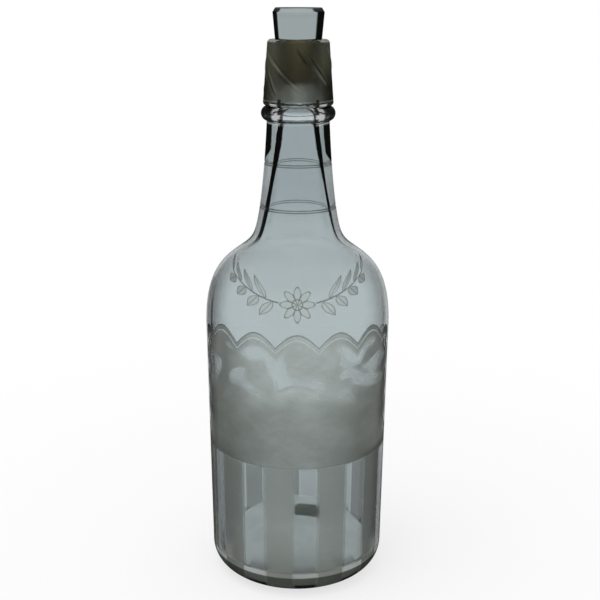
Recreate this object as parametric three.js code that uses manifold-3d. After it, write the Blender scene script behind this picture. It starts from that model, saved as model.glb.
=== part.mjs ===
// A clear glass bar decanter: a blown bottle with an applied ring and a tapered collar at its mouth,
// closed by a solid glass stopper on a tapered cork, with a small blank label under the base.
// Millimetres, +Z up. The origin is the centre of the resting ring, and the front faces -Y.
import * as THREE from "three";
import { mergeVertices } from "three/addons/utils/BufferGeometryUtils.js";
import Module from "manifold-3d";

const wasm = await Module();
wasm.setup();

// Heights, stacked from the resting plane to the top of the stopper
const BODY_HEIGHT = 129.5;
const SHOULDER_HEIGHT = 44.7;
const NECK_LENGTH = 53.3;
const RING_HEIGHT = 7.2;
const COLLAR_HEIGHT = 30.1;
const HEAD_HEIGHT = 14.1;

// Outside of the bottle: the wall leans in a little from the shoulder down to the heel
const BODY_DIAMETER = 90;
const WALL_LEAN = 1.6;
const HEEL_RADIUS = 11.8;
const NECK_ROOT_DIAMETER = 42.4;
const NECK_TOP_DIAMETER = 29.7;

// Run of the shoulder into the neck: how upright it meets the neck, and how full it is before that
const NECK_ROOT_LEAN = THREE.MathUtils.degToRad(23);
const SHOULDER_FULLNESS = 0.83;
const SHOULDER_TURN = 13;
const NECK_TURN = 11.7;

// Inside of the bottle: an even wall, a floor that swells up from its edge into a crown, and a flared bore
const WALL = 3.2;
const FLOOR_EDGE_LEVEL = 8.6;
const CROWN_RISE = 20.6;
const INNER_HEEL_RADIUS = 1.5;
const BORE_DIAMETER = 17.2;
const BORE_FLARE = 14;

// Underside: a flat resting ring round a shallow hollow
const REST_WIDTH = 4.4;
const HOLLOW_DEPTH = 5;

// Applied ring and collar
const RING_DIAMETER = 35.1;
const COLLAR_BASE_DIAMETER = 33.1;
const COLLAR_TOP_DIAMETER = 29;
const COLLAR_EDGE_ROUND = 1.5;
const LIP_ROUND = 1.7;
const MOUTH_ROUND = 0.5;

// Stopper: a flared head on a peg, and the cork that holds the peg in the mouth
const HEAD_BASE_DIAMETER = 21.9;
const HEAD_DIAMETER = 24;
const HEAD_BASE_ROUND = 0.6;
const HEAD_BEVEL = 1.3;
const HEAD_BEVEL_DROP = 2;
const PEG_DIAMETER = 9;
const PEG_LENGTH = 17.8;
const CORK_LENGTH = 20.4;
const CORK_TAPER = 2.6;

// Label, a slip stuck up in the hollow behind its middle, with one corner cut off
const LABEL_WIDTH = 13;
const LABEL_DEPTH = 8;
const LABEL_ASIDE = 5.6;
const LABEL_BEHIND = 16.2;
const LABEL_TURN = THREE.MathUtils.degToRad(6);
const LABEL_THICKNESS = 0.3;
const LABEL_CORNER = 1.5;
const LABEL_ROOM = 0.94;

// Gaps between pieces: the cork in the bore, the peg in the cork, and the glue over the label
const CORK_CLEARANCE = 0.25;
const PEG_CLEARANCE = 0.15;
const LABEL_CLEARANCE = 0.1;

// Fineness of the turned shapes
const SIDES = 48;
const CURVE_STEPS = 12;
const ROUND_STEPS = 6;
const EDGE_STEPS = 3;

// Levels and radii that several pieces share
const bodyRadius = BODY_DIAMETER / 2;
const heelWallRadius = bodyRadius - WALL_LEAN;
const heelCentreRadius = heelWallRadius - HEEL_RADIUS;
const hollowRadius = heelCentreRadius - REST_WIDTH;
const boreRadius = BORE_DIAMETER / 2;
const neckRootLevel = BODY_HEIGHT + SHOULDER_HEIGHT;
const neckTopLevel = neckRootLevel + NECK_LENGTH;
const collarBaseLevel = neckTopLevel + RING_HEIGHT;
const lipLevel = collarBaseLevel + COLLAR_HEIGHT;

const point = (radius, level) => new THREE.Vector2(radius, level);

// Points of a circular arc in the profile plane, from one angle to another
function arc(centreRadius, centreLevel, size, fromAngle, toAngle, steps) {
  const points = [];
  for (let i = 0; i <= steps; i++) {
    const angle = THREE.MathUtils.lerp(fromAngle, toAngle, i / steps);
    points.push(point(centreRadius + size * Math.cos(angle), centreLevel + size * Math.sin(angle)));
  }
  return points;
}

// A solid of revolution about Z. An open profile starts and ends on the axis.
function turned(profile) {
  return new THREE.LatheGeometry(profile, SIDES).rotateX(Math.PI / 2);
}

// A ring-shaped solid of revolution, whose profile closes on itself
function turnedRing(profile) {
  return turned([...profile, profile[0].clone()]);
}

function solidOf(geometry) {
  const bare = new THREE.BufferGeometry();
  bare.setAttribute("position", geometry.getAttribute("position"));
  bare.setIndex(geometry.index);
  const merged = mergeVertices(bare, 1e-4);
  const vertProperties = merged.getAttribute("position").array;
  const triVerts = new Uint32Array(merged.index.array);
  return new wasm.Manifold(new wasm.Mesh({ numProp: 3, vertProperties, triVerts }));
}

function geometryOf(solid) {
  const { vertProperties, triVerts } = solid.getMesh();
  const geometry = new THREE.BufferGeometry();
  geometry.setAttribute("position", new THREE.BufferAttribute(vertProperties, 3));
  geometry.setIndex(new THREE.BufferAttribute(triVerts, 1));
  geometry.computeVertexNormals();
  return geometry;
}

// The two outside curves above the straight wall, which meet at the root of the neck
const neckRoot = point(NECK_ROOT_DIAMETER / 2, neckRootLevel);
const neckRootRun = point(-Math.sin(NECK_ROOT_LEAN), Math.cos(NECK_ROOT_LEAN));
const shoulderCurve = new THREE.CubicBezierCurve(
  point(bodyRadius, BODY_HEIGHT),
  point(bodyRadius, BODY_HEIGHT + SHOULDER_FULLNESS * SHOULDER_HEIGHT),
  neckRoot.clone().addScaledVector(neckRootRun, -SHOULDER_TURN),
  neckRoot,
);
const neckTop = point(NECK_TOP_DIAMETER / 2, neckTopLevel);
const neckCurve = new THREE.CubicBezierCurve(
  neckRoot,
  neckRoot.clone().addScaledVector(neckRootRun, NECK_TURN),
  neckTop,
  neckTop,
);

// The shoulder's inside keeps the wall's thickness, square to the outside
function innerShoulderPoint(share) {
  const run = shoulderCurve.getTangent(share);
  return shoulderCurve.getPoint(share).addScaledVector(point(-run.y, run.x), WALL);
}

// The hollow's profile from the axis out to a share of its radius, lowered by a drop
function hollow(reach, drop) {
  const points = [];
  for (let i = 0; i <= ROUND_STEPS; i++) {
    const share = (reach * i) / ROUND_STEPS;
    points.push(point(hollowRadius * share, HOLLOW_DEPTH * (1 - share * share) - drop));
  }
  return points;
}

function bottleBody() {
  const heel = arc(heelCentreRadius, HEEL_RADIUS, HEEL_RADIUS, -Math.PI / 2, 0, ROUND_STEPS);
  const outside = [...shoulderCurve.getPoints(CURVE_STEPS), ...neckCurve.getPoints(CURVE_STEPS).slice(1)];

  const innerRoot = innerShoulderPoint(1);
  const bore = point(boreRadius, neckTopLevel);
  const innerNeck = new THREE.CubicBezierCurve(
    bore,
    bore,
    innerRoot.clone().addScaledVector(neckRootRun, BORE_FLARE),
    innerRoot,
  );
  const innerShoulder = [];
  for (let i = CURVE_STEPS - 1; i >= 0; i--) innerShoulder.push(innerShoulderPoint(i / CURVE_STEPS));
  const floorRadius = heelWallRadius - WALL;
  const crownRadius = (floorRadius ** 2 + CROWN_RISE ** 2) / (2 * CROWN_RISE);
  const crownLevel = FLOOR_EDGE_LEVEL + CROWN_RISE - crownRadius;
  const roundRadius = floorRadius - INNER_HEEL_RADIUS;
  const roundRise = Math.sqrt((crownRadius + INNER_HEEL_RADIUS) ** 2 - roundRadius ** 2);
  const crownEdge = Math.atan2(roundRise, roundRadius);
  const innerHeel = arc(
    roundRadius,
    crownLevel + roundRise,
    INNER_HEEL_RADIUS,
    0,
    crownEdge - Math.PI,
    EDGE_STEPS,
  );
  const crown = arc(0, crownLevel, crownRadius, crownEdge, Math.PI / 2, CURVE_STEPS);
  const inside = [...innerNeck.getPoints(CURVE_STEPS), ...innerShoulder, ...innerHeel, ...crown.slice(1)];
  return turned([...hollow(1, 0), ...heel, ...outside, ...inside]);
}

function stringRing() {
  const bead = RING_HEIGHT / 2;
  const beadRadius = RING_DIAMETER / 2 - bead;
  const beadLevel = neckTopLevel + bead;
  return turnedRing([
    point(boreRadius, neckTopLevel),
    ...arc(beadRadius, beadLevel, bead, -Math.PI / 2, Math.PI / 2, 2 * ROUND_STEPS),
    point(boreRadius, collarBaseLevel),
  ]);
}

function lipCollar() {
  const baseRadius = COLLAR_BASE_DIAMETER / 2 - COLLAR_EDGE_ROUND;
  const baseLevel = collarBaseLevel + COLLAR_EDGE_ROUND;
  const topRadius = COLLAR_TOP_DIAMETER / 2 - LIP_ROUND;
  return turnedRing([
    point(boreRadius, collarBaseLevel),
    ...arc(baseRadius, baseLevel, COLLAR_EDGE_ROUND, -Math.PI / 2, 0, EDGE_STEPS),
    ...arc(topRadius, lipLevel - LIP_ROUND, LIP_ROUND, 0, Math.PI / 2, EDGE_STEPS),
    ...arc(boreRadius + MOUTH_ROUND, lipLevel - MOUTH_ROUND, MOUTH_ROUND, Math.PI / 2, Math.PI, EDGE_STEPS),
  ]);
}

function stopperGlass() {
  const pegRadius = PEG_DIAMETER / 2;
  const headRadius = HEAD_DIAMETER / 2;
  const headTop = lipLevel + HEAD_HEIGHT;
  const baseRadius = HEAD_BASE_DIAMETER / 2 - HEAD_BASE_ROUND;
  return turned([
    point(0, lipLevel - PEG_LENGTH),
    point(pegRadius, lipLevel - PEG_LENGTH),
    point(pegRadius, lipLevel),
    ...arc(baseRadius, lipLevel + HEAD_BASE_ROUND, HEAD_BASE_ROUND, -Math.PI / 2, 0, EDGE_STEPS),
    point(headRadius, headTop - HEAD_BEVEL_DROP),
    point(headRadius - HEAD_BEVEL, headTop),
    point(0, headTop),
  ]);
}

function stopperCork() {
  const sleeveRadius = PEG_DIAMETER / 2 + PEG_CLEARANCE;
  const topRadius = boreRadius - CORK_CLEARANCE;
  return turnedRing([
    point(sleeveRadius, lipLevel - CORK_LENGTH),
    point(topRadius - CORK_TAPER / 2, lipLevel - CORK_LENGTH),
    point(topRadius, lipLevel),
    point(sleeveRadius, lipLevel),
  ]);
}

// The label is cut out of a thin skin over the whole hollow, by a block with the label's outline
function baseLabel() {
  const bare = hollow(LABEL_ROOM, LABEL_CLEARANCE + LABEL_THICKNESS);
  const glued = hollow(LABEL_ROOM, LABEL_CLEARANCE);
  const skin = turned([...bare, ...glued.reverse()]);
  const half = LABEL_WIDTH / 2;
  const front = -LABEL_DEPTH / 2;
  const back = LABEL_DEPTH / 2;
  const outline = new THREE.Shape([
    point(-half, front),
    point(half, front),
    point(half, back),
    point(LABEL_CORNER - half, back),
    point(-half, back - LABEL_CORNER),
  ]);
  const block = new THREE.ExtrudeGeometry(outline, { depth: BODY_HEIGHT, bevelEnabled: false });
  block.rotateZ(-LABEL_TURN).translate(LABEL_ASIDE, LABEL_BEHIND, -BODY_HEIGHT / 2);
  return geometryOf(solidOf(skin).intersect(solidOf(block)));
}

// Finishes
const clearGlass = { color: 0x9aa6a8, roughness: 0.05, metalness: 0, transparent: true, opacity: 0.45 };
const groundGlass = { color: 0x5b5d50, roughness: 0.6, metalness: 0, transparent: true, opacity: 0.8 };
const cork = { color: 0x6b5232, roughness: 0.9, metalness: 0 };
const paper = { color: 0x6a6d64, roughness: 0.85, metalness: 0 };

function piece(name, geometry, finish) {
  const mesh = new THREE.Mesh(geometry, new THREE.MeshStandardMaterial(finish));
  mesh.name = name;
  return mesh;
}

const bottle = new THREE.Group();
bottle.add(
  piece("bottle_body", bottleBody(), clearGlass),
  piece("string_ring", stringRing(), clearGlass),
  piece("lip_collar", lipCollar(), groundGlass),
  piece("base_label", baseLabel(), paper),
);

const stopper = new THREE.Group();
stopper.add(piece("stopper_glass", stopperGlass(), clearGlass), piece("stopper_cork", stopperCork(), cork));

const decanter = new THREE.Group();
decanter.add(bottle, stopper);

export default decanter;
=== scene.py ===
import math

import bmesh
import bpy
from mathutils import Euler, Matrix, Vector
from mathutils.geometry import interpolate_bezier


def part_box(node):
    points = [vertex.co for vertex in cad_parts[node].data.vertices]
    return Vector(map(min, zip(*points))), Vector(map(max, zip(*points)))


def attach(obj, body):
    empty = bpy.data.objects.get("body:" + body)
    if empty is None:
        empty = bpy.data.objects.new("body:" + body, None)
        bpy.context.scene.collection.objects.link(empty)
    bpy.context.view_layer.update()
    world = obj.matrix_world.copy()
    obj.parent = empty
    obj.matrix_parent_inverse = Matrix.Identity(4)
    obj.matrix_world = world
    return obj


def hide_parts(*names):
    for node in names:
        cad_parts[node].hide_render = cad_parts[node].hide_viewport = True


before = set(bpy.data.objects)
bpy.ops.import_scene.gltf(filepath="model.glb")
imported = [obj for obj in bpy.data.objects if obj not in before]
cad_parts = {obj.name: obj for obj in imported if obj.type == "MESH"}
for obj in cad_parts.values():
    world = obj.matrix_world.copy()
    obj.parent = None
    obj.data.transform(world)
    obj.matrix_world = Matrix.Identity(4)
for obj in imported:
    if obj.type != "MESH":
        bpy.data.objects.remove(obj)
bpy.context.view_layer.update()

# Bottle
# A heavy bottle of smoky clear glass, blown in one piece, with a rounded ring of glass wound on under
# the mouth. Its profile is spun round the axis, from the underside up the outside, over the ring and
# down the inside.
MM = 0.001
SPIN_STEPS = 144
CURVE_STEPS = 40
ARC_STEPS = 20
POINT_GAP = 3 * MM
MERGE_GAP = 0.001 * MM
CREASE_ANGLE = math.radians(40)

body_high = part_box("bottle_body")[1]
ring_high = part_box("string_ring")[1]
body_radius = body_high.x
neck_top = body_high.z
ring_top = ring_high.z

WALL_TOP = 129.5 * MM
WALL_LEAN = 1.6 * MM
HEEL_RADIUS = 11.8 * MM
SHOULDER_REACH = 37.1 * MM
SHOULDER_TURN = 13 * MM
NECK_ROOT = Vector((21.2 * MM, 0, 174.2 * MM))
NECK_ROOT_LEAN = math.radians(23)
NECK_TURN = 11.7 * MM
NECK_TOP_RADIUS = 14.85 * MM
RING_START_ANGLE = -60
FILLET_POINTS = 3
FILLET_STEPS = 6
WALL = 3.2 * MM
FLOOR_EDGE = 8.6 * MM
CROWN_RISE = 20.6 * MM
INNER_HEEL_RADIUS = 1.5 * MM
BORE_RADIUS = 8.6 * MM
BORE_FLARE = 14 * MM
REST_WIDTH = 4.4 * MM
HOLLOW_DEPTH = 5 * MM
# Each engraved groove: its level, half its width and its depth.
GROOVES = (
    (69 * MM, 0.4 * MM, 0.12 * MM),
    (187.1 * MM, 0.6 * MM, 0.25 * MM),
    (208 * MM, 0.6 * MM, 0.25 * MM),
)
# Points across a groove, in shares of half its width.
GROOVE_CUTS = (-1.3, -1, -0.6, -0.25, 0.25, 0.6, 1, 1.3)

heel_centre = body_radius - WALL_LEAN - HEEL_RADIUS
root_run = Vector((-math.sin(NECK_ROOT_LEAN), 0, math.cos(NECK_ROOT_LEAN)))


def arc(centre_radius, centre_level, size, start, end, steps=ARC_STEPS):
    """Points of a round stretch of a profile, from one angle to another in degrees."""
    angles = [math.radians(start + (end - start) * i / steps) for i in range(steps + 1)]
    return [
        Vector((centre_radius + size * math.cos(a), 0, centre_level + size * math.sin(a)))
        for a in angles
    ]


def curve(start, start_handle, end_handle, end, steps=CURVE_STEPS):
    """Points of a free curve of a profile."""
    return [Vector(p) for p in interpolate_bezier(start, start_handle, end_handle, end, steps + 1)]


def radius_at(points, level):
    """Radius of a rising profile at a level."""
    for low, high in zip(points, points[1:]):
        if low.z <= level <= high.z:
            return low.x + (high.x - low.x) * (level - low.z) / (high.z - low.z)


def with_grooves(points):
    """A rising profile with the engraved lines cut into it as shallow round grooves."""
    margin = GROOVE_CUTS[-1]
    cut = [p for p in points if all(abs(p.z - level) > margin * half for level, half, depth in GROOVES)]
    for level, half, depth in GROOVES:
        if points[0].z < level < points[-1].z:
            for share in GROOVE_CUTS:
                at = level + share * half
                cut.append(Vector((radius_at(points, at) - depth * max(0, 1 - share**2), 0, at)))
    return sorted(cut, key=lambda p: p.z)


def filled(points):
    """The same profile with its points close together, so that light bends truly in long straight walls."""
    close = points[:1]
    for start, end in zip(points, points[1:]):
        steps = math.ceil((end - start).length / POINT_GAP)
        close += [start.lerp(end, i / steps) for i in range(1, steps + 1)]
    return close


def spun(profile, closed=False, steps=SPIN_STEPS):
    """A bmesh of a profile spun round the axis. A closed profile comes back to its first point."""
    mesh = bmesh.new()
    verts = [mesh.verts.new(p) for p in profile]
    edges = [mesh.edges.new(pair) for pair in zip(verts, verts[1:])]
    if closed:
        edges.append(mesh.edges.new((verts[-1], verts[0])))
    bmesh.ops.spin(
        mesh,
        geom=verts + edges,
        cent=(0, 0, 0),
        axis=(0, 0, 1),
        angle=math.tau,
        steps=steps,
        use_merge=True,
    )
    bmesh.ops.remove_doubles(mesh, verts=mesh.verts, dist=MERGE_GAP)
    bmesh.ops.recalc_face_normals(mesh, faces=mesh.faces)
    return mesh


def piece_of(mesh, name, materials):
    """The finished object of a bmesh, smooth apart from its sharp edges."""
    data = bpy.data.meshes.new(name)
    mesh.to_mesh(data)
    mesh.free()
    data.shade_smooth()
    data.set_sharp_from_angle(angle=CREASE_ANGLE)
    for material in materials:
        data.materials.append(material)
    piece = bpy.data.objects.new(name, data)
    bpy.context.scene.collection.objects.link(piece)
    return piece


hollow_radius = heel_centre - REST_WIDTH


def hollow(reach, drop, steps=ARC_STEPS):
    """Points of the hollow under the base, from the axis to a share of its radius, lowered by a drop."""
    shares = [reach * i / steps for i in range(steps + 1)]
    return [Vector((hollow_radius * s, 0, HOLLOW_DEPTH * (1 - s * s) - drop)) for s in shares]


heel_round = arc(heel_centre, HEEL_RADIUS, HEEL_RADIUS, -90, 0)
shoulder_foot = Vector((body_radius, 0, WALL_TOP))
shoulder_rise = shoulder_foot + Vector((0, 0, SHOULDER_REACH))
shoulder = curve(shoulder_foot, shoulder_rise, NECK_ROOT - SHOULDER_TURN * root_run, NECK_ROOT)
neck_end = Vector((NECK_TOP_RADIUS, 0, neck_top))
neck_side = curve(NECK_ROOT, NECK_ROOT + NECK_TURN * root_run, neck_end, neck_end)
bead = (ring_top - neck_top) / 2
bead_centre = ring_high.x - bead
ring_round = arc(bead_centre, neck_top + bead, bead, RING_START_ANGLE, 90)
fillet = curve(neck_side[-FILLET_POINTS], neck_end, neck_end, ring_round[0], FILLET_STEPS)
grooved_body = with_grooves(heel_round[-1:] + shoulder)
grooved_neck = with_grooves(neck_side[:-FILLET_POINTS])
body_skin = hollow(1, 0) + heel_round[1:] + grooved_body[1:]
outside = body_skin + grooved_neck[1:] + fillet + ring_round[1:]

tangents = [b - a for a, b in zip(shoulder, shoulder[1:])]
tangents.append(root_run)
inner_shoulder = [
    p + WALL * Vector((-t.z, 0, t.x)).normalized() for p, t in zip(shoulder, tangents)
]
inner_root = inner_shoulder[-1]
bore_end = Vector((BORE_RADIUS, 0, neck_top))
inner_neck = curve(bore_end, bore_end, inner_root + BORE_FLARE * root_run, inner_root)
floor_radius = body_radius - WALL_LEAN - WALL
crown_radius = (floor_radius**2 + CROWN_RISE**2) / (2 * CROWN_RISE)
crown_top = FLOOR_EDGE + CROWN_RISE
crown_centre = crown_top - crown_radius
round_centre = floor_radius - INNER_HEEL_RADIUS
round_rise = math.sqrt((crown_radius + INNER_HEEL_RADIUS) ** 2 - round_centre**2)
crown_edge = math.degrees(math.atan2(round_rise, round_centre))
inner_heel = arc(round_centre, crown_centre + round_rise, INNER_HEEL_RADIUS, 0, crown_edge - 180)
crown = arc(0, crown_centre, crown_radius, crown_edge, 90)
mouth = [Vector((BORE_RADIUS, 0, ring_top))]
inside = inner_neck + inner_shoulder[-2::-1] + inner_heel + crown[1:]


class Socket:
    """A socket of a node tree. Arithmetic on it adds Math nodes, and node() adds any other."""

    def __init__(self, tree, socket=None):
        self.tree = tree
        self.socket = socket

    def node(self, kind, inputs=None, output=0, **settings):
        made = self.tree.nodes.new("ShaderNode" + kind)
        for name, value in settings.items():
            setattr(made, name, value)
        for name, value in (inputs or {}).items():
            if isinstance(value, Socket):
                self.tree.links.new(value.socket, made.inputs[name])
            else:
                made.inputs[name].default_value = value
        return Socket(self.tree, made.outputs[output] if made.outputs else None)

    def output(self, name):
        return Socket(self.tree, self.socket.node.outputs[name])

    def math(self, operation, *values):
        return self.node("Math", dict(enumerate(values)), operation=operation)

    def step(self, low, high):
        """Smooth rise from 0 at low to 1 at high."""
        return self.node("MapRange", {0: self, 1: low, 2: high}, interpolation_type="SMOOTHSTEP")

    def fall(self, low, high):
        """Smooth fall from 1 at low to 0 at high."""
        return 1 - self.step(low, high)

    def within(self, half, soft):
        """1 where the value is closer to 0 than half, with a soft edge."""
        return abs(self).fall(half - soft, half + soft)

    def mix(self, one, other):
        """Colour that goes from one to the other as this value goes from 0 to 1."""
        return self.node("Mix", {0: self, 6: one, 7: other}, output=2, data_type="RGBA")

    def __add__(self, other):
        return self.math("ADD", self, other)

    def __radd__(self, other):
        return self.math("ADD", other, self)

    def __sub__(self, other):
        return self.math("SUBTRACT", self, other)

    def __rsub__(self, other):
        return self.math("SUBTRACT", other, self)

    def __mul__(self, other):
        return self.math("MULTIPLY", self, other)

    def __rmul__(self, other):
        return self.math("MULTIPLY", other, self)

    def __truediv__(self, other):
        return self.math("DIVIDE", self, other)

    def __pow__(self, other):
        return self.math("POWER", self, other)

    def __mod__(self, other):
        return self.math("FLOORED_MODULO", self, other)

    def __abs__(self):
        return self.math("ABSOLUTE", self)

    def __and__(self, other):
        return self.math("MINIMUM", self, other)

    def __or__(self, other):
        return self.math("MAXIMUM", self, other)


def new_finish(name):
    """A material with an empty node tree, and a socket to build on."""
    material = bpy.data.materials.new(name)
    material.use_nodes = True
    material.node_tree.nodes.clear()
    return material, Socket(material.node_tree)


def place_on(tree):
    """Angle from the front in radians, to the right, and distance from the axis and height in mm."""
    across = tree.node("SeparateXYZ", {0: tree.node("TexCoord", output="Object")})
    deep = across.output("Y")
    angle = tree.math("ARCTAN2", across, 0 - deep)
    radius = (across * across + deep * deep) ** 0.5 / MM
    return angle, radius, across.output("Z") / MM


def view_on(tree):
    """How far a surface turns away from the eye, and 1 where it is met from inside the glass."""
    facing = tree.node("LayerWeight", {"Blend": 0.5}, output="Facing")
    return facing, tree.node("NewGeometry", output="Backfacing")


def round_view_on(tree, facing):
    """How far an upright wall here would turn away from the eye, and 0 where the skin faces it."""
    place = tree.node("TexCoord", output="Object")
    outward = tree.node("VectorMath", {0: place, 1: (1, 1, 0)}, operation="MULTIPLY")
    outward = tree.node("VectorMath", {0: outward}, operation="NORMALIZE")
    turned = tree.node("LayerWeight", {"Blend": 0.5, "Normal": outward}, output="Facing")
    return turned * facing.step(0.005, 0.03)


GLASS_IOR = 1.5
POLISH = 0.02
CLEAR = (0.66, 0.71, 0.72, 1)
NECK_CLEAR = (0.55, 0.6, 0.615, 1)
# Painted shade for the neck's sides.
NECK_SIDE_SHADE = (0.2, 0.245, 0.25, 1)
RING_CLEAR = (0.93, 0.96, 0.96, 1)
# Painted shade for the lower walls, met from inside the glass.
FOOT_WALL_SHADE = (0.33, 0.35, 0.36, 1)
FROST = (0.47, 0.49, 0.44, 1)
FROST_PALE = (0.66, 0.695, 0.645, 1)
ENGRAVED = (0.1, 0.107, 0.098, 1)
# Black that is mixed in as painted shade.
SHADE_BLACK = (0.004, 0.005, 0.004, 1)
# Olive that is painted on the heel as painted shade.
HEEL_SHADE_OLIVE = (0.036, 0.041, 0.031, 1)

STRIPES = 11
STRIPE_DRIFT = 0.0715
STRIPE_CLOSING = 0.0189
STRIPE_START = math.radians(5.86)
STRIPE_TOP = 69
STRIPE_TOP_EDGE = (STRIPE_TOP - 0.2, STRIPE_TOP + 0.2)
STRIPE_FOOT_EDGE = (30.5, 31.5)
STRIPE_EDGE = (0.245, 0.255)
BORDER_EDGE = (0.295, 0.305)


def stripe_mask(angle, radius, height):
    """Frosted upright stripes round the foot, each with a paler border."""
    turned = angle - STRIPE_START
    drift = STRIPE_DRIFT * turned.math("SINE", turned)
    drift = drift - STRIPE_CLOSING * turned.math("SINE", 2 * turned)
    phase = (turned - drift) * (STRIPES / math.tau)
    off = abs(phase % 1 - 0.5)
    wall = radius.step(*STRIPE_FOOT_EDGE) & height.fall(*STRIPE_TOP_EDGE)
    return off.fall(*STRIPE_EDGE) & wall, off.fall(*BORDER_EDGE) & wall


BAND_TOP = 76
PANEL_TOP = 129
PANEL_REACH = math.radians(74)
PANEL_CORNER = 20
SCALLOPS = 14
SCALLOP_RISE = 6.5
LOW_SCALLOP_RISE = 2.6
SCALLOP_HEIGHT = 13
FINE_LINE_INSET = 2.6
FINE_LINE_CLEAR = 0.7


def band_mask(angle, height):
    """Low frosted band with a scalloped edge, which rises to a tall panel at the front.

    A fine clear line runs inside the edge.
    """
    arch = abs(angle.math("COSINE", angle * (SCALLOPS / 2)))
    side_arch = abs(height.math("COSINE", (height - PANEL_TOP) * (math.pi / SCALLOP_HEIGHT)))
    to_side = (PANEL_REACH - abs(angle)) * (body_radius / MM) + LOW_SCALLOP_RISE * side_arch
    to_top = PANEL_TOP + SCALLOP_RISE * arch - height
    panel = to_top.math("SMOOTH_MIN", to_top, to_side, PANEL_CORNER)
    inset = panel | (BAND_TOP + LOW_SCALLOP_RISE * arch - height)
    band = inset.step(-0.25, 0.25) & height.step(*STRIPE_TOP_EDGE)
    fine_line = FINE_LINE_CLEAR * (inset - FINE_LINE_INSET).within(0.35, 0.2)
    edge_line = inset.within(0.3, 0.2) & height.step(STRIPE_TOP, STRIPE_TOP + 1)
    return band & (1 - fine_line), edge_line, inset


SHOULDER_STRETCH = 0.021
SPRAY_LEVEL = 149.5
SPRAY_REACH = 34
SPRAY_LIFT = 11
LEAF_LENGTH = 9.5
LEAF_SHRINK = 0.35
LEAF_SLANT = 0.75
LEAF_SPACING = 7
LEAF_HALF_WIDTH = 2.3
LEAF_PAIRS = 4
STEM_HALF_WIDTH = 0.35
ROSETTE_RADIUS = 8
ROSETTE_PETALS = 8
HEART_RADIUS = 2.4


def spray_mask(angle, radius, height):
    """Two leafy sprays on the front of the shoulder, joined by a rosette."""
    inset = body_radius / MM - radius
    along = angle * radius
    rise = height + SHOULDER_STRETCH * inset * inset - SPRAY_LEVEL
    reach = abs(along)
    bow = (reach / SPRAY_REACH) ** 2
    off = rise - SPRAY_LIFT * bow
    upper = off.step(-0.01, 0.01)
    out = abs(off) / (LEAF_LENGTH * (1 - LEAF_SHRINK * bow))
    count = (reach - ROSETTE_RADIUS - LEAF_SLANT * abs(off)) / LEAF_SPACING - 0.5 * upper
    cell = count % 1 - 0.5
    shape = out * (1 - out) * (1.25 - 0.5 * out)
    inside_leaf = shape * (4 * LEAF_HALF_WIDTH / LEAF_SPACING) - abs(cell)
    on_spray = count.step(-0.01, 0.01) & count.fall(LEAF_PAIRS - 0.01, LEAF_PAIRS) & out.fall(0.98, 1)
    leaf = inside_leaf.step(-0.015, 0.015) & on_spray
    outline = (inside_leaf - 0.02).within(0.03, 0.02) & on_spray
    midrib = cell.within(0.025, 0.02) & leaf
    stem = off.within(STEM_HALF_WIDTH, 0.15) & reach.fall(SPRAY_REACH + 1, SPRAY_REACH + 3)

    from_middle = (along * along + rise * rise) ** 0.5
    turn = along.math("ARCTAN2", rise, along)
    lobe = ROSETTE_RADIUS * (0.8 + 0.2 * turn.math("COSINE", turn * ROSETTE_PETALS))
    rosette = (lobe - from_middle).step(-0.15, 0.15)
    fold = abs(turn.math("SINE", turn * (ROSETTE_PETALS / 2))) * from_middle
    petal_line = (fold - from_middle).within(0.25, 0.15) & rosette
    heart = (from_middle - HEART_RADIUS).within(0.3, 0.2)
    rosette_line = (lobe - from_middle).within(0.35, 0.2) | petal_line | heart
    clear_of_rosette = from_middle.step(ROSETTE_RADIUS + 0.4, ROSETTE_RADIUS + 0.8)
    frost = (leaf & clear_of_rosette) | rosette
    lines = ((outline | midrib | stem) & clear_of_rosette) | rosette_line
    return frost, lines


def groove_mask(height):
    """The fine groove over the stripes, and the dark lines along the edges of the two neck grooves."""
    places = [height - level / MM for level, half, depth in GROOVES]
    edges = [(abs(place) - 0.5).within(0.26, 0.08) for place in places[1:]]
    return places[0].within(0.4, 0.1), edges[0] | edges[1]


def dark_edge(tree, shader, factor, dark=SHADE_BLACK):
    """Painted shade, black mixed in where glass turns away: the dark of the room instead of the light
    behind it.
    """
    black = tree.node("BsdfDiffuse", {"Color": dark})
    return tree.node("MixShader", {0: factor, 1: shader, 2: black})


FRONT_HALVES = (-0.2, 0.2)
# Levels in millimetres where a tint or a shade of the outside comes in or goes out, from the foot up.
SOLE_END = (5.8, 6.3)
HEEL_END = (10.2, 11)
FROST_SHADE_START = (10.5, 11.5)
LOW_LINE = 13.2
LOW_SHADE_END = (13, 14.3)
FOOT_END = (60, 72)
LIMB_DEEPENS = (64, 76)
MARBLE_START = (97, 109)
RIM_START = (122, 130)
RIM_END = (150, 158)
LIMB_EASES = (156, 166)
NECK_START = (160, 200)
THROAT_START = (165, 177)
THROAT_EASES = (192, 207)
NECK_DEEPENS = (195, 215)
SIDE_BAR_START = (205, 216)
RIGHT_BAR_WIDENS = (214, 223)
RING_FOOT = 227
RING_LINE = 228.5
RING_MIDDLE = 230.6
RING_CROWN = (232, 233.5)


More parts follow.
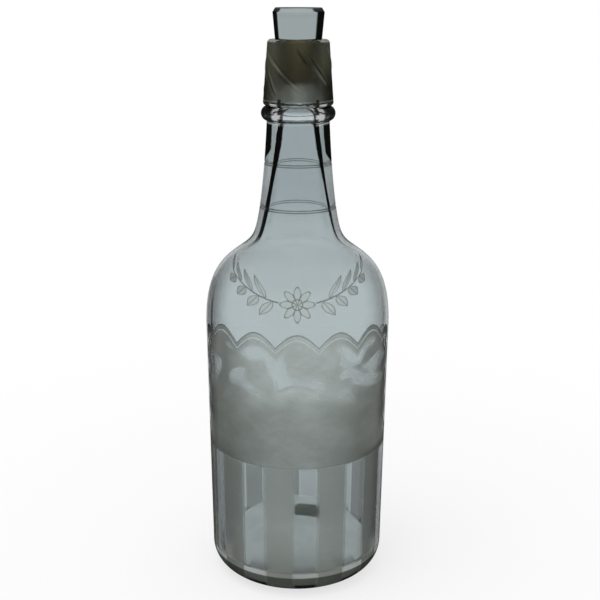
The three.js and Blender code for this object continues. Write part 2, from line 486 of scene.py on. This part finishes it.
def outside_finish():
    material, tree = new_finish("etched_glass")
    angle, radius, height = place_on(tree)
    facing, behind = view_on(tree)
    place = tree.node("TexCoord", output="Object")
    grain = tree.node("TexNoise", {"Vector": place, "Scale": 1400, "Detail": 2})

    # Frosting and engraved lines, which share a fine grain.
    stripe, border = stripe_mask(angle, radius, height)
    band, band_lines, band_inset = band_mask(angle, height)
    leaves, spray_lines = spray_mask(angle, radius, height)
    groove, groove_lines = groove_mask(height)
    drawn = tree.node(
        "Mapping", {"Vector": place, "Location": (0.052, 0.013, 0.031), "Scale": (1, 1, 1.5)}
    )
    swirl = tree.node(
        "TexNoise", {"Vector": drawn, "Scale": 44, "Detail": 1, "Roughness": 0.4, "Distortion": 0.5}
    )
    marbled = band_inset.step(4, 8) * height.step(*MARBLE_START)
    band = band & (1 - (0.5 * swirl.step(0.47, 0.53) + 0.3 * swirl.step(0.57, 0.6)) * marbled)
    frost = stripe | band | leaves * (0.5 + 0.6 * grain) | border * 0.45 | groove * 0.4
    lines = (band_lines | spray_lines) * (0.65 + 0.6 * grain)
    flat = tree.node("Mapping", {"Vector": place, "Scale": (1, 1, 1.7)})
    cloud = tree.node("TexNoise", {"Vector": flat, "Scale": 62, "Detail": 7, "Roughness": 0.68})
    cloudy = (cloud.step(0.36, 0.66) | 0.62 * stripe | leaves).mix(FROST, FROST_PALE)

    # Clear glass, smokier in the neck, and wavy on the ring.
    ring = height.step(RING_FOOT - 1, RING_FOOT + 1)
    neck = height.step(*NECK_START) & (1 - ring)
    # Painted shade: the neck's sides are darker where they turn from the eye.
    deep = facing.step(0.15, 0.28) * neck * (0.5 + 0.5 * height.step(*NECK_DEEPENS)) * (1 - behind)
    clear = ring.mix(neck.mix(CLEAR, NECK_CLEAR), RING_CLEAR)
    # Painted shade: the lower walls are darker where they are met from inside the glass.
    clear = (behind * height.fall(*FOOT_END)).mix(deep.mix(clear, NECK_SIDE_SHADE), FOOT_WALL_SHADE)
    wave = tree.node("TexNoise", {"Vector": place, "Scale": 180, "Detail": 1})
    bump = tree.node("Bump", {"Height": wave * ring, "Strength": 0.5, "Distance": 0.0006})
    shader = tree.node(
        "BsdfPrincipled",
        {
            "Base Color": (lines | groove_lines).mix(frost.mix(clear, cloudy), ENGRAVED),
            "Roughness": POLISH + 0.5 * (frost | lines),
            "IOR": GLASS_IOR,
            "Transmission Weight": 1.0,
            "Normal": bump,
        },
    )

    # Painted shade: dark lines and shades of glass that turns away, on the body, the neck, the ring and the
    # foot.
    right = angle.step(*FRONT_HALVES)
    rim = height.step(*RIM_START) * height.fall(*RIM_END) * (1 - right)
    limb_depth = (0.58 - 0.06 * right) * (1 - 0.4 * height.step(*LIMB_EASES))
    limb_depth = limb_depth * (0.75 + 0.25 * height.step(*LIMB_DEEPENS)) + 0.1 * rim
    limb = limb_depth * facing.step(0.3, 0.68) * (1 - 0.85 * (facing - 0.08 * rim).step(0.7, 0.84))
    upper = height.step(*THROAT_EASES)
    throat = (0.46 - 0.29 * upper + 0.08 * right * upper) * height.step(*THROAT_START) * (1 - ring)
    throat = throat * (facing - 0.16 * (1 - upper)).step(0.18, 0.36)
    bar_start = 0.4 - 0.04 * right * height.step(*RIGHT_BAR_WIDENS)
    bar_start = bar_start + 0.65 * (height + 1.5 * right).fall(*SIDE_BAR_START)
    side_bar = (facing - bar_start).step(0, 0.06) * neck
    groove_shade = 0.6 * groove_lines * facing.step(0.12, 0.4)

    aside = round_view_on(tree, facing)
    ring_bar = 0.97 * (aside - 0.15).within(0.042, 0.02) * (1 - (height - RING_MIDDLE).within(0.8, 0.4))
    ring_shade_line = 0.85 * (height - RING_LINE).within(0.3, 0.2)
    ring_end = aside.step(0.24, 0.34) * (0.88 + 0.1 * wave.step(0.4, 0.6))
    ring_side = 0.47 * aside.step(0.07, 0.13) | 0.45 * height.step(*RING_CROWN)
    ring_shade = (ring_bar | ring_end | ring_side | ring_shade_line) * ring

    frost_shade = (0.5 - 0.16 * stripe) * facing.step(0.02, 0.44) * frost
    frost_shade = frost_shade * height.step(*FROST_SHADE_START)
    # Painted shade low on the foot: darker stripes, a dark line and a dark sole.
    low_shade = (0.36 * stripe + 0.28 * aside.step(0.15, 0.45)) * height.fall(*LOW_SHADE_END)
    low_shade_line = 0.25 * (height - LOW_LINE).within(0.5, 0.4)
    sole_shade = 0.92 * height.fall(*SOLE_END) * (1 - frost)
    foot_shade = low_shade | low_shade_line | sole_shade
    shade = side_bar | limb | throat | ring_shade | frost_shade | foot_shade | groove_shade
    # The back stripes, met from inside, get a painted shade too.
    edge = shade * (1 - behind) + 0.5 * stripe * behind
    # Painted shade: the heel is darkened to olive below its top.
    heel_shade = (0.87 - 0.08 * frost) * height.fall(*HEEL_END) * (1 - behind)
    heel_shaded = dark_edge(tree, shader, heel_shade, HEEL_SHADE_OLIVE)
    tree.node("OutputMaterial", {"Surface": dark_edge(tree, heel_shaded, edge)})
    return material


# Levels of the inside, in the same way.
VALLEY_END = (11, 15)
FLOOR_END = (30, 33)
LOW_WALL_END = (66, 73)
WALL_LINES_EASE = (138, 152)
BORE_START = (163, 174)
BORE_BAR_WIDENS = (168, 192)
BORE_NARROWS = (196, 222)


def inside_finish():
    material, tree = new_finish("inner_glass")
    angle, radius, height = place_on(tree)
    shader = tree.node(
        "BsdfPrincipled",
        {
            "Base Color": height.step(*NECK_START).mix(CLEAR, NECK_CLEAR),
            "Roughness": POLISH,
            "IOR": GLASS_IOR,
            "Transmission Weight": 1.0,
        },
    )
    # Painted shade: dark lines where the inner wall turns from the eye, and a darker valley round the
    # floor.
    facing, behind = view_on(tree)
    right = angle.step(*FRONT_HALVES)
    rise = height.step(*BORE_NARROWS)
    neck = height.step(*BORE_START)
    place = tree.node("TexCoord", output="Object")
    wobble = tree.node("TexNoise", {"Vector": place, "Scale": 260, "Detail": 2}) - 0.5
    start = 0.253 + neck * (0.022 * right - 0.033 - 0.085 * rise + 0.04 * rise * wobble)
    spread = rise * (0.005 + 0.02 * right) - 0.01 * right + 0.05 * rise * wobble
    end = 0.268 + 0.04 * height.step(*BORE_BAR_WIDENS) + neck * spread
    bar = ((facing - start) / (0.008 + 0.025 * rise)).step(0, 1) & (facing - end).fall(-0.004, 0.008)
    from_glass = bar & height.step(*FLOOR_END) & height.fall(RING_FOOT - 2, RING_FOOT + 1)
    from_air = (facing - (0.95 - 0.5 * rise)).step(0, 0.05)
    on_wall = (0.8 - 0.45 * right) * (1 - 0.8 * height.step(*WALL_LINES_EASE))
    on_wall = on_wall * (1 - 0.6 * height.fall(*LOW_WALL_END))
    strength = neck + (1 - neck) * on_wall
    stripe, border = stripe_mask(angle, radius, height)
    valley_shade = 0.42 * height.fall(*VALLEY_END) * (1 - stripe)
    edge = behind * from_glass * strength + (1 - behind) * (from_air * strength | valley_shade)
    tree.node("OutputMaterial", {"Surface": dark_edge(tree, shader, edge)})
    return material


BASE_WHITE = (0.82, 0.835, 0.82, 1)
BASE_WORN = (0.72, 0.74, 0.725, 1)
# Painted shade on the front of the underside.
BASE_FRONT_SHADE = (0.48, 0.495, 0.465, 1)
BASE_FRONT = (4, 24)
GROUND_SHARE = 0.9


def base_finish():
    material, tree = new_finish("ground_base")
    angle, radius, height = place_on(tree)
    place = tree.node("TexCoord", output="Object")
    wear = tree.node("TexNoise", {"Vector": place, "Scale": 160, "Detail": 5, "Roughness": 0.6})
    colour = wear.step(0.35, 0.7).mix(BASE_WHITE, BASE_WORN)
    # Painted shade: the front of the ground underside is darker.
    colour = (radius * angle.math("COSINE", angle)).step(*BASE_FRONT).mix(colour, BASE_FRONT_SHADE)
    polished = tree.node(
        "BsdfPrincipled",
        {"Base Color": CLEAR, "Roughness": 0.3, "IOR": GLASS_IOR, "Transmission Weight": 1.0},
    )
    ground = tree.node("BsdfTranslucent", {"Color": colour})
    mixed = tree.node("MixShader", {0: GROUND_SHARE, 1: polished, 2: ground})
    tree.node("OutputMaterial", {"Surface": mixed})
    return material


OUTER_SKIN, INNER_SKIN, BASE_SKIN = range(3)
bottle_mesh = spun(filled(outside) + mouth + filled(inside))
for face in bottle_mesh.faces:
    centre = face.calc_center_median()
    turned_in = face.normal.dot(Vector((centre.x, centre.y, 0))) < 0
    face.material_index = INNER_SKIN if turned_in else OUTER_SKIN
    if centre.z < crown_top and centre.xy.length < floor_radius:
        face.material_index = INNER_SKIN if face.normal.z > 0 else OUTER_SKIN
    if centre.z < HOLLOW_DEPTH and centre.xy.length < heel_centre:
        face.material_index = BASE_SKIN
bottle = piece_of(bottle_mesh, "bottle_glass", [outside_finish(), inside_finish(), base_finish()])
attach(bottle, "bottle")
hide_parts("bottle_body", "string_ring")

# Collar
# A tall tapered collar of ground glass, a second gather put on above the ring while hot.
# The jaws that shaped it left slanting folds in its skin, and its bore was ground for the cork.
collar_low, collar_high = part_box("lip_collar")
lip_level = collar_high.z
collar_base = collar_low.z
COLLAR_SEAT = 0.02 * MM
COLLAR_BASE_RADIUS = 16.55 * MM
COLLAR_TOP_RADIUS = 14.5 * MM
COLLAR_EDGE_ROUND = 1.5 * MM
COLLAR_FOOT = 3.2 * MM
LIP_ROUND = 1.7 * MM
MOUTH_ROUND = 0.5 * MM
EDGE_STEPS = 8
MOUTH_STEPS = 6
COLLAR_RINGS = 80
COLLAR_STEPS = 360
GROUND = (0.14, 0.14, 0.115, 1)
GROUND_PALE = (0.21, 0.215, 0.18, 1)
GROUND_DEEP = (0.2, 0.2, 0.1, 1)
LIP_GLASS = (0.75, 0.79, 0.78, 1)
# Olive that is mixed in as painted shade on the collar.
OLIVE_SHADE = (0.012, 0.013, 0.008, 1)
# Each fold: angle at its top, level of its top and its bottom in millimetres, slant in degrees for each
# millimetre down, and height in millimetres.
FOLDS = (
    (-78, 261, 241, 4.2, 0.3),
    (-7, 262.3, 252, 2.6, -0.25),
    (4, 261.5, 244, 3.0, 0.28),
    (-72, 252.5, 240, 2.3, -0.25),
    (62, 262, 246, 3.2, 0.25),
    (118, 260, 240, 3.6, -0.25),
    (160, 262, 248, 2.9, 0.28),
    (-150, 258, 240, 3.8, 0.25),
    (-112, 261, 246, 3.1, 0.22),
)
FOLD_HALF_WIDTH = math.radians(3.4)
FOLD_LIMIT = 0.25
VALLEY_DEPTH = 0.7
VALLEY_OFFSET = 1.7

base_centre = COLLAR_BASE_RADIUS - COLLAR_EDGE_ROUND
base_round = arc(base_centre, collar_base + COLLAR_EDGE_ROUND, COLLAR_EDGE_ROUND, -90, 0, EDGE_STEPS)
lip_round = arc(COLLAR_TOP_RADIUS - LIP_ROUND, lip_level - LIP_ROUND, LIP_ROUND, 0, 90, EDGE_STEPS)
mouth_round = arc(BORE_RADIUS + MOUTH_ROUND, lip_level - MOUTH_ROUND, MOUTH_ROUND, 90, 180, MOUTH_STEPS)
side = [base_round[-1].lerp(lip_round[0], i / COLLAR_RINGS) for i in range(1, COLLAR_RINGS)]
seat = Vector((BORE_RADIUS, 0, collar_base))
collar_bore = filled([mouth_round[-1], seat])
collar_skin = base_round[1:] + side + lip_round + mouth_round
collar_profile = filled([seat, base_round[0]]) + collar_skin + collar_bore[1:-1]
collar_mesh = spun(collar_profile, closed=True, steps=COLLAR_STEPS)

fold_layer = collar_mesh.verts.layers.float.new("fold")
for vert in collar_mesh.verts:
    level = vert.co.z / MM
    around = math.atan2(vert.co.x, -vert.co.y)
    lift = 0
    for top_angle, top_level, low_level, slant, rise in FOLDS:
        share = (top_level - level) / (top_level - low_level)
        if vert.co.xy.length > COLLAR_TOP_RADIUS - LIP_ROUND and 0 < share < 1:
            line = math.radians(top_angle + slant * (top_level - level))
            gap = ((around - line + math.pi) % math.tau - math.pi) / FOLD_HALF_WIDTH
            ridge = math.exp(-(gap**2)) - VALLEY_DEPTH * math.exp(-((gap - VALLEY_OFFSET) ** 2))
            lift += rise * math.sin(math.pi * share) ** 0.7 * ridge
    lift = max(-FOLD_LIMIT, min(FOLD_LIMIT, lift))
    vert[fold_layer] = lift / FOLD_LIMIT
    vert.co += Vector((vert.co.x, vert.co.y, 0)).normalized() * (lift * MM)
    if level < (collar_base + COLLAR_SEAT) / MM:
        vert.co.z += COLLAR_SEAT

# Levels in millimetres where a tint or a shade of the collar comes in.
BORE_BAR_START = (241, 246)
CORK_TINT_START = (243, 252)
SIDES_EASE = (243, 258)
LIP_TINT_START = (253, 263)


def collar_finish():
    material, tree = new_finish("ground_glass")
    angle, radius, height = place_on(tree)
    place = tree.node("TexCoord", output="Object")
    grain = tree.node("TexNoise", {"Vector": place, "Scale": 260, "Detail": 3})
    fold = tree.node("Attribute", attribute_name="fold", output="Fac")
    top = height.step((lip_level - 0.9 * LIP_ROUND) / MM, (lip_level - 0.4 * LIP_ROUND) / MM)
    bore = radius.fall(BORE_RADIUS / MM + 0.3, BORE_RADIUS / MM + 0.6)
    foot = height.fall((collar_base + 0.6 * COLLAR_FOOT) / MM, (collar_base + COLLAR_FOOT) / MM)
    smooth = top | bore | foot
    colour = grain.step(0.3, 0.7).mix(GROUND, GROUND_PALE)
    colour = (0.7 * height.step(*CORK_TINT_START)).mix(colour, GROUND_DEEP)
    colour = (0.6 * height.step(*LIP_TINT_START)).mix(colour, GROUND_PALE)
    # Fold ridges are painted paler, a painted highlight.
    colour = (0.85 * fold.step(0.04, 0.6)).mix(colour, GROUND_PALE)
    shader = tree.node(
        "BsdfPrincipled",
        {
            "Base Color": top.mix((bore | foot).mix(colour, CLEAR), LIP_GLASS),
            "Roughness": 0.5 - 0.45 * smooth,
            "IOR": GLASS_IOR,
            "Transmission Weight": 1.0,
        },
    )

    # Painted shade: dark sides and creases of the ground skin, and dark lines of the clear foot and the
    # bore.
    facing, behind = view_on(tree)
    turned = 1 - (1 - facing) ** (3.2 + 1.6 * angle.step(*FRONT_HALVES))
    turned = turned * (1 - 0.4 * fold.step(0.03, 0.5)) * (1 - 0.3 * height.step(*SIDES_EASE))
    crease_shade = 0.66 * (0 - fold).step(0.2, 0.95)
    bore_bar = 0.6 * facing.step(0.02, 0.13) | 0.92 * facing.step(0.2, 0.27)
    bore_bar = bore_bar * facing.fall(0.4, 0.55) * bore
    bore_bar = bore_bar * (0.4 + 0.6 * height.step(*BORE_BAR_START))
    above_seat = height - collar_base / MM
    aside = round_view_on(tree, facing)
    low_bar = (aside - 0.172).within(0.038, 0.015) * above_seat.fall(3.2, 5)
    # A painted dark wavy line across the front of the clear foot.
    foot_wave_line = (above_seat - 1.7 + 2.4 * (grain - 0.5)).within(0.45, 0.2) * aside.fall(0.12, 0.14)
    foot_bar = 0.97 * (low_bar | aside.step(0.38, 0.46) * foot | 0.9 * foot_wave_line)
    edge = ((turned | crease_shade) * (1 - smooth) | foot_bar) * (1 - behind) + bore_bar * behind
    tree.node("OutputMaterial", {"Surface": dark_edge(tree, shader, edge, OLIVE_SHADE)})
    return material


collar = piece_of(collar_mesh, "lip_collar_glass", [collar_finish()])
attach(collar, "bottle")
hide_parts("lip_collar")

# Label
# A small blank slip of pale paper, stuck up in the hollow under the base, with one corner cut off.
# It follows the round of the hollow.
LABEL_WIDTH = 13 * MM
LABEL_DEPTH = 8 * MM
LABEL_PLACE = Vector((5.6, 16.2, 0)) * MM
LABEL_TURN = math.radians(6)
LABEL_GAP = 0.1 * MM
LABEL_THICKNESS = 0.3 * MM
LABEL_CORNER = 1.5 * MM
LABEL_ROOM = 0.94
PAPER = (0.86, 0.87, 0.7, 1)
PAPER_WORN = (0.93, 0.94, 0.78, 1)

label_skin = hollow(LABEL_ROOM, LABEL_GAP + LABEL_THICKNESS) + hollow(LABEL_ROOM, LABEL_GAP)[::-1]
label_mesh = spun(label_skin)
label_turn = Matrix.Rotation(-LABEL_TURN, 3, "Z")
label_half = LABEL_WIDTH / 2
label_back = LABEL_DEPTH / 2
cuts = (
    (Vector((-label_half, 0, 0)), Vector((-1, 0, 0))),
    (Vector((label_half, 0, 0)), Vector((1, 0, 0))),
    (Vector((0, -label_back, 0)), Vector((0, -1, 0))),
    (Vector((0, label_back, 0)), Vector((0, 1, 0))),
    (Vector((-label_half, label_back - LABEL_CORNER, 0)), Vector((-1, 1, 0))),
)
for point, outward in cuts:
    cut = bmesh.ops.bisect_plane(
        label_mesh,
        geom=label_mesh.verts[:] + label_mesh.edges[:] + label_mesh.faces[:],
        plane_co=LABEL_PLACE + label_turn @ point,
        plane_no=label_turn @ outward,
        clear_outer=True,
    )
    edges = [e for e in cut["geom_cut"] if isinstance(e, bmesh.types.BMEdge)]
    bmesh.ops.holes_fill(label_mesh, edges=edges)


def paper_finish():
    material, tree = new_finish("label_paper")
    place = tree.node("TexCoord", output="Object")
    fibre = tree.node("TexNoise", {"Vector": place, "Scale": 900, "Detail": 5})
    stain = tree.node("TexNoise", {"Vector": place, "Scale": 120, "Detail": 2})
    shader = tree.node(
        "BsdfPrincipled",
        {
            "Base Color": stain.step(0.35, 0.7).mix(PAPER, PAPER_WORN),
            "Roughness": 0.8 + 0.1 * fibre,
            "Normal": tree.node("Bump", {"Height": fibre, "Strength": 0.3, "Distance": 0.0001}),
        },
    )
    tree.node("OutputMaterial", {"Surface": shader})
    return material


label = piece_of(label_mesh, "base_label_paper", [paper_finish()])
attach(label, "bottle")
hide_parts("base_label")

# Stopper
# A solid glass head, flared and bevelled at the top, with a round peg below it.
# It was pressed and then polished, and stands on the lip of the bottle.
glass_low, glass_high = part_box("stopper_glass")
stopper_top = glass_high.z
head_radius = glass_high.x
HEAD_BASE_RADIUS = 10.95 * MM
HEAD_BASE_ROUND = 0.6 * MM
HEAD_BEVEL = 1.3 * MM
HEAD_BEVEL_DROP = 2 * MM
HEAD_BASE_STEPS = 6
BEVEL_STEPS = 5
PEG_RADIUS = 4.5 * MM
STOPPER_GLASS = (0.33, 0.375, 0.38, 1)
# Painted shade for the flat top.
STOPPER_TOP_SHADE = (0.215, 0.25, 0.255, 1)
STOPPER_BEVEL = (0.42, 0.465, 0.47, 1)

head_centre = HEAD_BASE_RADIUS - HEAD_BASE_ROUND
head_foot = Vector((HEAD_BASE_RADIUS, 0, lip_level))
bevel_foot = Vector((head_radius, 0, stopper_top - HEAD_BEVEL_DROP))
bevel_end = Vector((head_radius - HEAD_BEVEL, 0, stopper_top))
stopper_profile = [
    Vector((0, 0, glass_low.z)),
    Vector((PEG_RADIUS, 0, glass_low.z)),
    Vector((PEG_RADIUS, 0, lip_level)),
    *arc(head_centre, lip_level + HEAD_BASE_ROUND, HEAD_BASE_ROUND, -90, 0, HEAD_BASE_STEPS),
    *curve(
        bevel_foot.lerp(head_foot, 0.04),
        bevel_foot,
        bevel_foot,
        Vector((head_radius - 0.2 * HEAD_BEVEL, 0, stopper_top - 0.8 * HEAD_BEVEL_DROP)),
        BEVEL_STEPS,
    ),
    *curve(
        Vector((head_radius - 0.8 * HEAD_BEVEL, 0, stopper_top - 0.2 * HEAD_BEVEL_DROP)),
        bevel_end,
        bevel_end,
        Vector((head_radius - 1.4 * HEAD_BEVEL, 0, stopper_top)),
        BEVEL_STEPS,
    ),
    Vector((0, 0, stopper_top)),
]


def stopper_finish():
    material, tree = new_finish("stopper_glass")
    angle, radius, height = place_on(tree)
    normal = tree.node("SeparateXYZ", {0: tree.node("TexCoord", output="Normal")})
    up = normal.output("Z").step(0.5, 0.8)
    from_top = stopper_top / MM - height
    bevel = from_top.fall(HEAD_BEVEL_DROP / MM - 0.2, HEAD_BEVEL_DROP / MM + 0.3)
    # Painted shade: the flat top is darker.
    colour = up.mix(bevel.mix(STOPPER_GLASS, STOPPER_BEVEL), STOPPER_TOP_SHADE)
    shader = tree.node(
        "BsdfPrincipled",
        {"Base Color": colour, "Roughness": POLISH, "IOR": GLASS_IOR, "Transmission Weight": 1.0},
    )
    # Painted shade: dark sides where the head turns from the eye, and a dark rim round its top.
    facing, behind = view_on(tree)
    right = angle.step(*FRONT_HALVES)
    bar = (facing - (0.4 - 0.13 * right)).step(0, 0.08) * (1 - up)
    rim = 0.55 * from_top.fall(0.35, 0.6) * facing.step(0.1, 0.3)
    edge = (bar | rim) * (1 - behind)
    tree.node("OutputMaterial", {"Surface": dark_edge(tree, shader, edge)})
    return material


stopper = piece_of(spun(stopper_profile), "stopper_head_glass", [stopper_finish()])
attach(stopper, "stopper")
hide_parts("stopper_glass")

# Cork
# A tapered sleeve of natural cork, bored through and glued on the stopper's peg.
# It is turned from one piece, so the pores run across it.
cork_low, cork_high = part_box("stopper_cork")
SLEEVE_RADIUS = 4.65 * MM
CORK_TAPER = 1.3 * MM
CORK_EDGE = 0.4 * MM
CORK_FADE = 4 * MM
CORK_BROWN = (0.15, 0.115, 0.035, 1)
CORK_PALE = (0.29, 0.23, 0.085, 1)
CORK_TOP = (0.6, 0.48, 0.25, 1)
PORE_BROWN = (0.03, 0.018, 0.01, 1)
cork_top_radius = cork_high.x
cork_low_radius = cork_high.x - CORK_TAPER
cork_face = cork_high.z - 0.05 * CORK_EDGE
cork_profile = [
    Vector((SLEEVE_RADIUS, 0, cork_low.z)),
    Vector((cork_low_radius - CORK_EDGE, 0, cork_low.z)),
    Vector((cork_low_radius, 0, cork_low.z + CORK_EDGE)),
    Vector((cork_top_radius, 0, cork_high.z - 0.2 * CORK_EDGE)),
    Vector((cork_top_radius - CORK_EDGE, 0, cork_face)),
    Vector((SLEEVE_RADIUS, 0, cork_face)),
]


def cork_finish():
    material, tree = new_finish("cork")
    angle, radius, height = place_on(tree)
    place = tree.node("TexCoord", output="Object")
    along = tree.node("Mapping", {"Vector": place, "Scale": (1, 1, 0.45)})
    grain = tree.node("TexNoise", {"Vector": along, "Scale": 500, "Detail": 5, "Roughness": 0.65})
    pores = tree.node("TexVoronoi", {"Vector": along, "Scale": 420, "Randomness": 1}, output="Distance")
    pore = pores.fall(0.08, 0.3)
    upper = height.step((cork_low.z + CORK_FADE) / MM, cork_high.z / MM)
    colour = grain.step(0.35, 0.65).mix(CORK_BROWN, CORK_PALE)
    colour = (0.85 * upper).mix(colour, CORK_TOP)
    bump = tree.node("Bump", {"Height": grain - 1.5 * pore, "Strength": 0.6, "Distance": 0.0004})
    shader = tree.node(
        "BsdfPrincipled",
        {
            "Base Color": (pore * 0.8).mix(colour, PORE_BROWN),
            "Roughness": 0.75 + 0.2 * grain,
            "Normal": bump,
        },
    )
    tree.node("OutputMaterial", {"Surface": shader})
    return material


cork = piece_of(spun(cork_profile, closed=True), "stopper_cork_sleeve", [cork_finish()])
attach(cork, "stopper")
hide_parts("stopper_cork")

# Studio
# A white floor that runs out to a white surround, under a soft overhead light. Both show white to the
# eye and through glass. Polished glass mirrors a dim room that is paler at the rear, and a dark ceiling
# shows through it.
FLOOR_RADIUS = 4
FLOOR_DROP = 0.3 * MM
FLOOR_SEGMENTS = 96
FLOOR_GLOW = 0.7
FLOOR_GLOW_FULL = (120, 400)
FLOOR_REAR = (60, 160)
FLOOR_WHITE = (0.9, 0.9, 0.9, 1)
SURROUND = (1, 1, 1, 1)
CEILING = (0.06, 0.065, 0.065, 1)
CEILING_START = (0.45, 0.8)
ROOM = (0.05, 0.05, 0.05, 1)
ROOM_REAR = (0.3, 0.315, 0.32, 1)
ROOM_REAR_START = (0.2, 0.7)
LIGHT_LEVEL = 0.85
LAMP_PLACE = Vector((-0.35, -0.25, 1.2))
LAMP_AIM = Vector((0, 0, 0.1))
LAMP_SIZE = 0.9
LAMP_POWER = 4


def seen_white(tree):
    """1 for rays from the camera and for those that pass on through glass."""
    path = tree.node("LightPath", output="Is Camera Ray")
    return path | path.output("Is Transmission Ray")


def mirrored(tree):
    """1 for rays thrown back by a polished surface."""
    path = tree.node("LightPath", output="Is Glossy Ray")
    return path * (1 - path.output("Is Transmission Ray"))


def floor_finish():
    material, tree = new_finish("floor_white")
    angle, radius, height = place_on(tree)
    diffuse = tree.node("BsdfDiffuse", {"Color": FLOOR_WHITE})
    glow = tree.node("Emission", {"Color": SURROUND})
    rear = (0 - radius * angle.math("COSINE", angle)).step(*FLOOR_REAR)
    room = tree.node("Emission", {"Color": rear.mix(ROOM, ROOM_REAR)})
    share = FLOOR_GLOW + (1 - FLOOR_GLOW) * radius.step(*FLOOR_GLOW_FULL)
    lit = tree.node("MixShader", {0: seen_white(tree) * share, 1: diffuse, 2: glow})
    surface = tree.node("MixShader", {0: mirrored(tree), 1: lit, 2: room})
    tree.node("OutputMaterial", {"Surface": surface})
    return material


floor_mesh = bmesh.new()
bmesh.ops.create_circle(floor_mesh, cap_ends=True, segments=FLOOR_SEGMENTS, radius=FLOOR_RADIUS)
bmesh.ops.translate(floor_mesh, vec=(0, 0, -FLOOR_DROP), verts=floor_mesh.verts)
floor = piece_of(floor_mesh, "floor", [floor_finish()])

scene = bpy.context.scene
scene.view_settings.view_transform = "Standard"
scene.world = bpy.data.worlds.new("surround")
scene.world.use_nodes = True
scene.world.node_tree.nodes.clear()
sky = Socket(scene.world.node_tree)
across = sky.node("SeparateXYZ", {0: sky.node("TexCoord", output="Generated")})
ceiling = across.output("Z").step(*CEILING_START)
rear = across.output("Y").step(*ROOM_REAR_START)
seen = sky.node("Background", {"Color": ceiling.mix(SURROUND, CEILING)})
light = sky.node("Background", {"Color": SURROUND, "Strength": LIGHT_LEVEL})
room = sky.node("Background", {"Color": rear.mix(ROOM, ROOM_REAR)})
unseen = sky.node("MixShader", {0: mirrored(sky), 1: light, 2: room})
surround = sky.node("MixShader", {0: seen_white(sky), 1: unseen, 2: seen})
sky.node("OutputWorld", {"Surface": surround})

lamp_data = bpy.data.lights.new("overhead", "AREA")
lamp_data.shape = "DISK"
lamp_data.size = LAMP_SIZE
lamp_data.energy = LAMP_POWER
lamp = bpy.data.objects.new("overhead", lamp_data)
lamp.location = LAMP_PLACE
lamp.rotation_euler = (LAMP_AIM - LAMP_PLACE).to_track_quat("-Z", "Y").to_euler()
lamp.visible_glossy = False
lamp.visible_transmission = False
scene.collection.objects.link(lamp)

# Camera
# Placed where the photograph was taken from: a little above the lip and over half a metre away, looking
# down.
CAMERA_PLACE = Vector((1.2, -507.4, 285.1)) * MM
CAMERA_TILT = math.radians(16)
CAMERA_ROLL = math.radians(0.24)
CAMERA_LENS = 64.2
CAMERA_SENSOR = 36
CAMERA_NEAR = 10 * MM
camera_data = bpy.data.cameras.new("camera")
camera_data.lens = CAMERA_LENS
camera_data.sensor_width = CAMERA_SENSOR
camera_data.clip_start = CAMERA_NEAR
camera = bpy.data.objects.new("camera", camera_data)
camera.matrix_world = (
    Matrix.Translation(CAMERA_PLACE)
    @ Euler((math.pi / 2 - CAMERA_TILT, 0, 0)).to_matrix().to_4x4()
    @ Matrix.Rotation(CAMERA_ROLL, 4, "Z")
)
scene.collection.objects.link(camera)
scene.camera = camera
